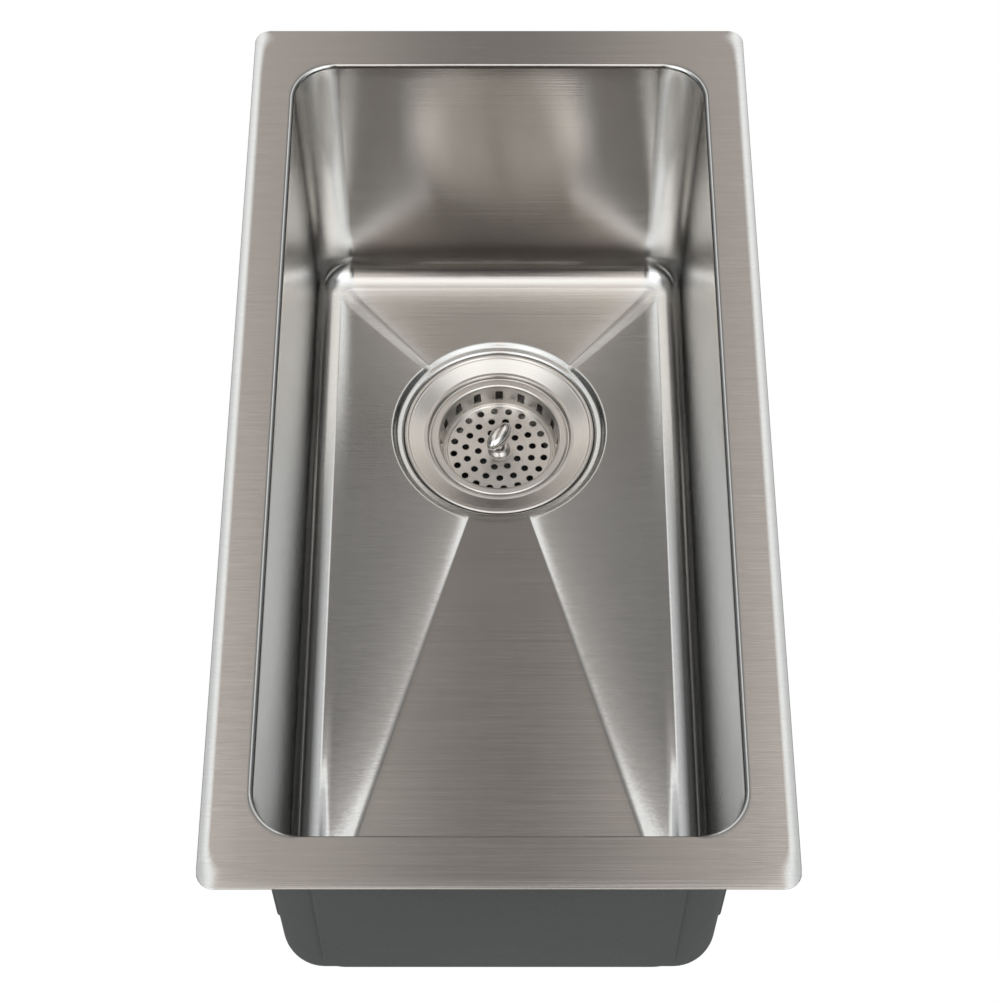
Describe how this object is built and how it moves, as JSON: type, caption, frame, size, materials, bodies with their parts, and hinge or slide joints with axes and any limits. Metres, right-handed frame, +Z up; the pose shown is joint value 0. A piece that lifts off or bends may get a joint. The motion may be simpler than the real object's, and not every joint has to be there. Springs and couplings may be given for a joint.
{
  "type": "single bowl undermount sink",
  "caption": "Narrow rectangular stainless steel undermount sink bowl with a lift-out basket strainer over a straight tailpiece.",
  "frame": {"origin": "centre of the bowl's opening, in the plane of the flange's top face", "axes": "+Z up, out of the bowl; +Y along the bowl's length towards the end with the drain; +X to the right, across the bowl"},
  "size_m": [0.2746, 0.5142, 0.3585],
  "materials": {
    "bowl_steel": "satin brushed stainless steel, grain along the width; grey sprayed undercoat outside",
    "strainer_steel": "satin stainless steel, turned grain",
    "chrome_plate": "bright chrome plate",
    "zinc_casting": "dull cast metal",
    "coated_pad": "matt grey undercoat over a rubber sound pad",
    "black_rubber": "matt black rubber",
    "fibre_board": "brown fibre board",
    "plumbers_putty": "set putty"
  },
  "bodies": {
    "sink": {"sink_bowl": "bowl_steel", "sound_pad_front": "coated_pad", "sound_pad_back": "coated_pad", "sound_pad_left": "coated_pad", "sound_pad_right": "coated_pad", "sound_pad_bottom": "coated_pad", "strainer_body": "strainer_steel", "outlet_crosspiece": "strainer_steel", "putty_ring": "plumbers_putty", "rubber_gasket": "black_rubber", "friction_washer": "fibre_board", "locknut": "zinc_casting", "tailpiece_washer": "black_rubber", "tailpiece": "chrome_plate", "coupling_nut": "chrome_plate"},
    "stopper": {"stopper_seal": "black_rubber", "stopper_washer": "strainer_steel"},
    "basket": {"basket_cup": "strainer_steel", "basket_post": "strainer_steel", "knob": "strainer_steel", "post_collar": "strainer_steel", "post_nut": "strainer_steel", "detent_ring": "strainer_steel"}
  },
  "joints": [
    {"name": "basket_lift", "type": "slide", "parent": "sink", "child": "stopper", "axis": [0, 0, 1], "range_m": [0, 0.245]},
    {"name": "basket_turn", "type": "hinge", "parent": "stopper", "child": "basket", "pos_m": [0, 0.1117, -0.1923], "axis": [0, 0, 1], "continuous": true}
  ]
}
